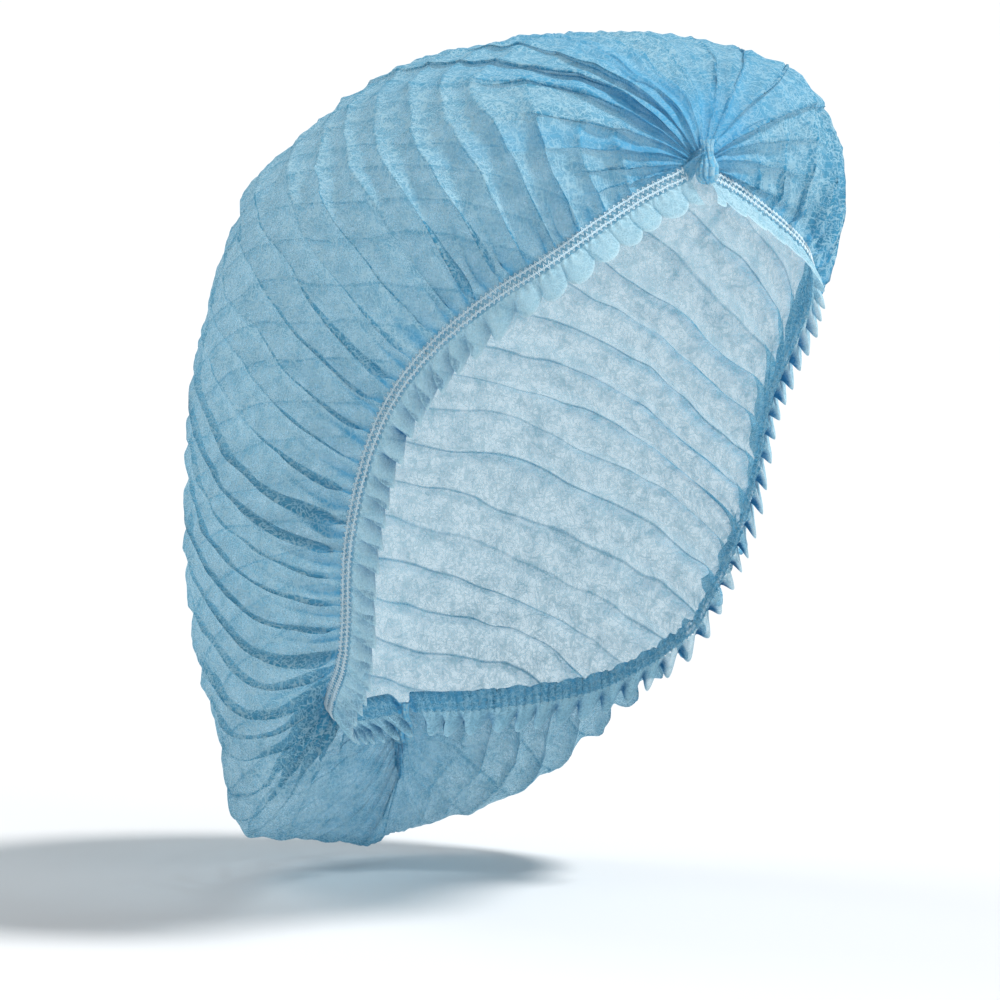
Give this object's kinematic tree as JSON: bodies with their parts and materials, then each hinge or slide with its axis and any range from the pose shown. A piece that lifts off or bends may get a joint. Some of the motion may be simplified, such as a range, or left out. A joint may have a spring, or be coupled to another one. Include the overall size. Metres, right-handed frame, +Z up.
{
  "type": "disposable bouffant cap",
  "caption": "Light-blue pleated nonwoven hair cap, puffed as worn, with gathered elastic edges, fluted frills and a welded knot at the forehead and nape.",
  "frame": {"origin": "the crown of the wearer's head, where the inside of the cap bears on it", "axes": "+Z up, +X to the wearer's left, -Y forward, the way the opening looks"},
  "size_m": [0.1828, 0.2214, 0.2616],
  "materials": {
    "nonwoven_cloth": "thin matt spunbond",
    "elastic_thread": "matt covered thread",
    "welded_cloth": "dense matt spunbond"
  },
  "bodies": {
    "root": {"crown": "nonwoven_cloth", "right_frill": "nonwoven_cloth", "left_frill": "nonwoven_cloth", "right_elastic_lower": "elastic_thread", "right_elastic_upper": "elastic_thread", "left_elastic_lower": "elastic_thread", "left_elastic_upper": "elastic_thread", "front_knot": "welded_cloth", "nape_knot": "welded_cloth"}
  },
  "joints": []
}
